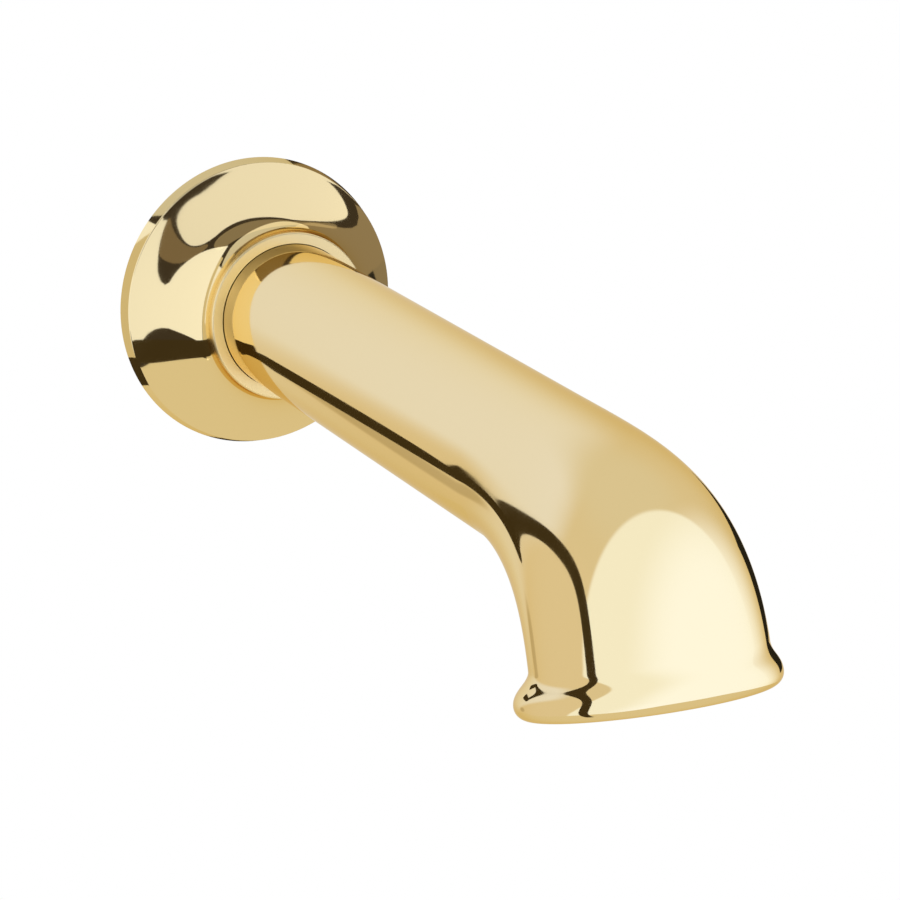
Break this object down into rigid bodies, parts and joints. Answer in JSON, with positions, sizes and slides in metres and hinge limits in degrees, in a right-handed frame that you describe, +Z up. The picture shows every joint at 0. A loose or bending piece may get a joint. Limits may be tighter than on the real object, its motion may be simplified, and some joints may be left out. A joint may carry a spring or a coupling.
{
  "type": "bath spout",
  "caption": "Wall-hung bath spout with a round cover flange, a gently falling tube and a flared, lipped bell outlet facing down.",
  "frame": {"origin": "centre of the flange's back, in the wall's plane, on the axis of the tapped inlet", "axes": "+Y into the wall along the inlet's axis, so the spout reaches out along -Y; +Z up; +X to the right seen from the room"},
  "size_m": [0.065, 0.1955, 0.0796],
  "materials": {
    "polished_brass": "mirror polished, gold-coloured",
    "black_rubber": "matt"
  },
  "bodies": {
    "root": {"spout_body": "polished_brass", "wall_flange": "polished_brass", "flange_o_ring": "black_rubber"}
  },
  "joints": []
}
